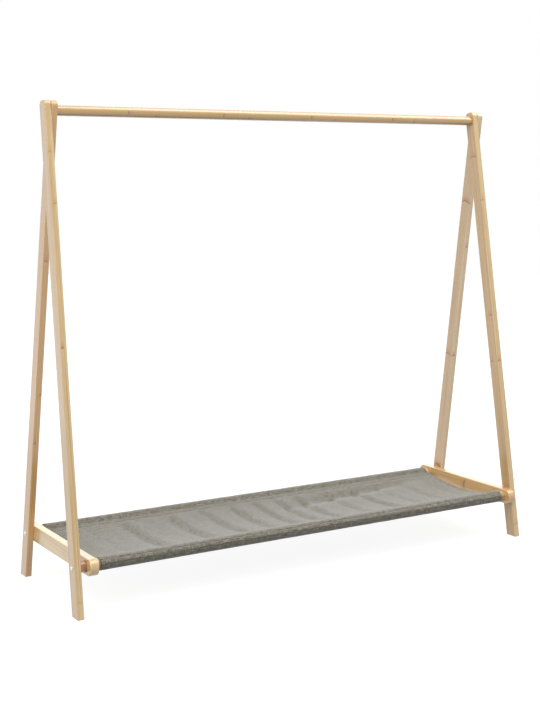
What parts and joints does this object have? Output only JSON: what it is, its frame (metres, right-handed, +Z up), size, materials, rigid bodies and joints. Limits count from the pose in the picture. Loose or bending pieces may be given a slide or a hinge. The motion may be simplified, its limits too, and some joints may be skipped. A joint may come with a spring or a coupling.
{
  "type": "clothes rack",
  "caption": "Free-standing bamboo clothes rack with A-shaped ends, a round hanging rail and a low grey cloth shelf slung between two dowels.",
  "frame": {"origin": "on the floor, under the middle of the rack", "axes": "+X along the hanging rail, -Y the front, +Z up"},
  "size_m": [1.2554, 0.3754, 1.106],
  "materials": {
    "bamboo_board": "clear satin lacquer",
    "bamboo_rod": "clear satin lacquer",
    "grey_cloth": "woven, matt",
    "bolt_steel": "nickel plate",
    "insert_zinc": "zinc"
  },
  "bodies": {
    "root": {"front_shelf_dowel": "bamboo_rod", "hanging_rail": "bamboo_rod", "left_front_leg": "bamboo_board", "left_front_shelf_bolt": "bolt_steel", "left_front_shelf_insert": "insert_zinc", "left_front_spacer": "bamboo_rod", "left_rail_bolt": "bolt_steel", "left_rail_insert": "insert_zinc", "left_rail_plug": "bamboo_board", "left_rear_leg": "bamboo_board", "left_rear_shelf_bolt": "bolt_steel", "left_rear_shelf_insert": "insert_zinc", "left_shelf_crossbar": "bamboo_board", "rear_shelf_dowel": "bamboo_rod", "right_front_leg": "bamboo_board", "right_front_shelf_bolt": "bolt_steel", "right_front_shelf_insert": "insert_zinc", "right_rail_bolt": "bolt_steel", "right_rail_insert": "insert_zinc", "right_rail_plug": "bamboo_board", "right_rear_leg": "bamboo_board", "right_rear_shelf_bolt": "bolt_steel", "right_rear_shelf_insert": "insert_zinc", "right_rear_spacer": "bamboo_rod", "right_shelf_crossbar": "bamboo_board", "shelf_sling": "grey_cloth"}
  },
  "joints": []
}
